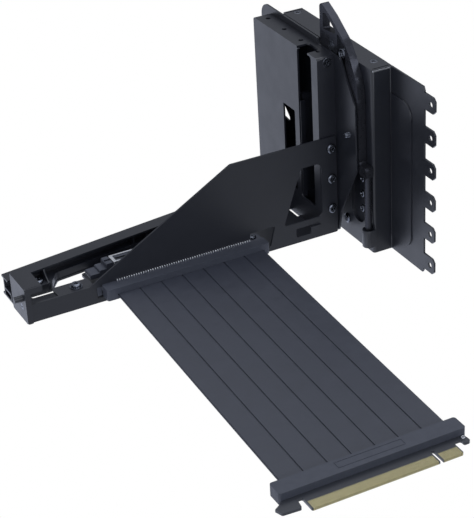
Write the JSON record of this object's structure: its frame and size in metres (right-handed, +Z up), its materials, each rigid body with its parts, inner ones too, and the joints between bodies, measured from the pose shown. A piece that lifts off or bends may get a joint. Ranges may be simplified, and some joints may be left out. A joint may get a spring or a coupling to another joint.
{
  "type": "vertical graphics card mount",
  "caption": "Vertical graphics card mount: slotted case bracket, sliding card frame with arm, riser slot, flat riser cable with edge connector, and a swinging lock lever.",
  "frame": {"origin": "centre of the row of tab holes, on the back face of the tab plate", "axes": "+X out through the back of the case, +Y along the back wall from the tabs to the box, +Z up along the row of tabs"},
  "size_m": [0.2288, 0.3294, 0.144],
  "materials": {
    "coated_steel": "satin",
    "screw_steel": "satin",
    "bright_steel": "brushed",
    "lever_steel": "gloss",
    "black_plastic": "matt",
    "circuit_board": "satin",
    "ribbon_jacket": "matt"
  },
  "bodies": {
    "case_side": {"case_bracket": "coated_steel", "rear_cover": "coated_steel", "cover_screws_top": "screw_steel", "cover_screws_low": "screw_steel", "row_screws": "screw_steel", "guide_rivet": "bright_steel", "lever_screw": "screw_steel", "lever_spring": "bright_steel"},
    "lock_lever": {"lever": "lever_steel"},
    "card_side": {"slide_plate": "coated_steel", "plate_stud": "screw_steel", "io_frame": "coated_steel", "slide_studs": "screw_steel", "arm_plate": "coated_steel", "arm_screws": "screw_steel", "post_screw": "screw_steel", "tray": "coated_steel", "tray_screw": "screw_steel", "ledge_screw": "screw_steel", "end_stop": "coated_steel", "end_screw": "screw_steel", "riser_board": "circuit_board", "x16_slot": "black_plastic", "slot_shell": "bright_steel", "riser_housing": "black_plastic", "riser_screw": "screw_steel", "ribbon_strip_1": "ribbon_jacket", "ribbon_strip_2": "ribbon_jacket", "ribbon_strip_3": "ribbon_jacket", "ribbon_strip_4": "ribbon_jacket", "ribbon_strip_5": "ribbon_jacket", "ribbon_strip_6": "ribbon_jacket", "ribbon_strip_7": "ribbon_jacket", "end_housing": "black_plastic", "end_board": "circuit_board"},
    "latch": {"slot_latch": "black_plastic"}
  },
  "joints": [
    {"name": "card_frame_slide", "type": "slide", "parent": "case_side", "child": "card_side", "axis": [0, 1, 0], "range_m": [-0.01, 0.015]},
    {"name": "lock_lever_swing", "type": "hinge", "parent": "case_side", "child": "lock_lever", "pos_m": [-0.0163, 0.0784, 0.0625], "axis": [-1, 0, 0], "range_deg": [0, 12]},
    {"name": "slot_latch_swing", "type": "hinge", "parent": "card_side", "child": "latch", "pos_m": [-0.16549, 0.0907, -0.04965], "axis": [0, -1, 0], "range_deg": [0, 15]}
  ]
}
